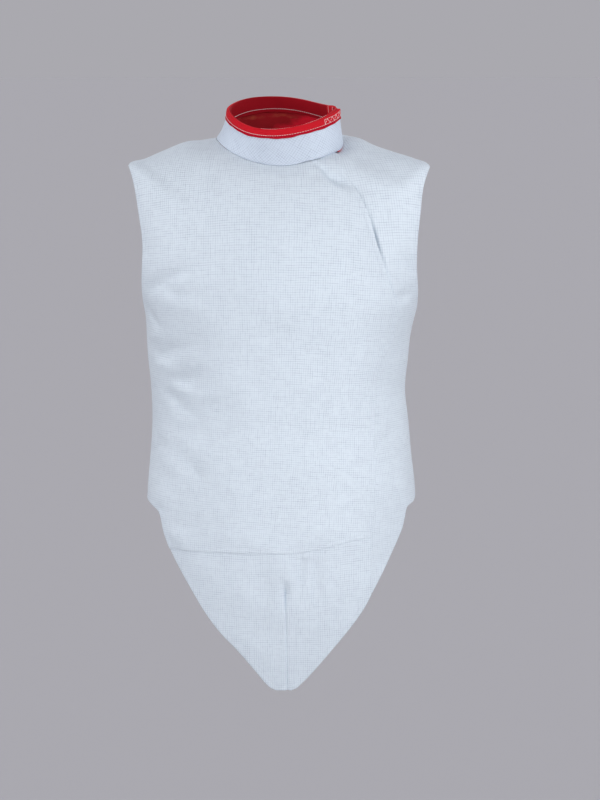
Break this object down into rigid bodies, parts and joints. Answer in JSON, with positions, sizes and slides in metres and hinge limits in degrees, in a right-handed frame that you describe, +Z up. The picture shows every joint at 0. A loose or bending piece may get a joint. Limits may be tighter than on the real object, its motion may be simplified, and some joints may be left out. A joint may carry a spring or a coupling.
{
  "type": "fencing lame",
  "caption": "Sleeveless conductive vest for foil fencing, shown filled out as worn, with a stand collar, a side-closing front flap and a pointed crotch panel.",
  "frame": {"origin": "the middle of the neck at shoulder height, between the shoulders that carry the vest", "axes": "+Z up along the body, the front faces -Y, +X towards the wearer's left"},
  "size_m": [0.379, 0.2346, 0.737],
  "materials": {
    "lame_cloth": "woven metallic silver-white cloth, matte with a soft sheen",
    "collar_lining": "matte brown-red cotton lining",
    "red_binding": "matte red woven tape with white stitching"
  },
  "bodies": {
    "root": {"front_panel": "lame_cloth", "left_front_panel": "lame_cloth", "back_panel": "lame_cloth", "crotch_panel": "lame_cloth", "collar": "lame_cloth", "collar_lining": "collar_lining", "collar_binding": "red_binding"}
  },
  "joints": []
}
